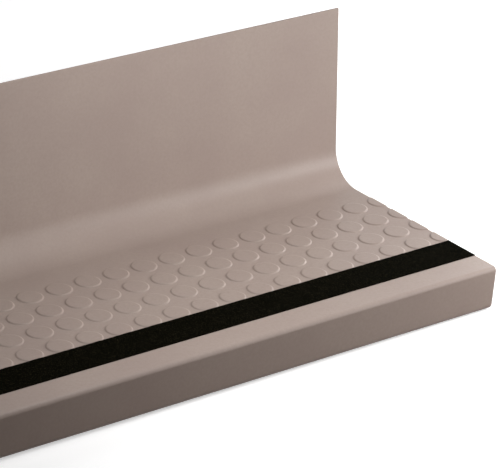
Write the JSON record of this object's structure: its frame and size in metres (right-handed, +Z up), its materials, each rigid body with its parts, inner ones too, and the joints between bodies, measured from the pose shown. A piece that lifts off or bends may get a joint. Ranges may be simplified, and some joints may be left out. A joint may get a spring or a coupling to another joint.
{
  "type": "rubber stair tread with riser",
  "caption": "One-piece moulded rubber stair tread with a square nose lip, a black grit strip along the nose, round studs, and a cove that turns up into a smooth riser.",
  "frame": {"origin": "on the floor, under the middle of the part's box, as it stands unheld", "axes": "+X along the stair's edge, +Y from the nose towards the riser, +Z up; the tread slopes down to the back by 11.8 degrees, because the part stands on the back of its lip and on the outside of its cove"},
  "size_m": [0.9144, 0.3709, 0.2104],
  "materials": {
    "taupe_rubber": "satin",
    "black_grit": "rough"
  },
  "bodies": {
    "root": {"tread_riser": "taupe_rubber", "grit_strip": "black_grit"}
  },
  "joints": []
}
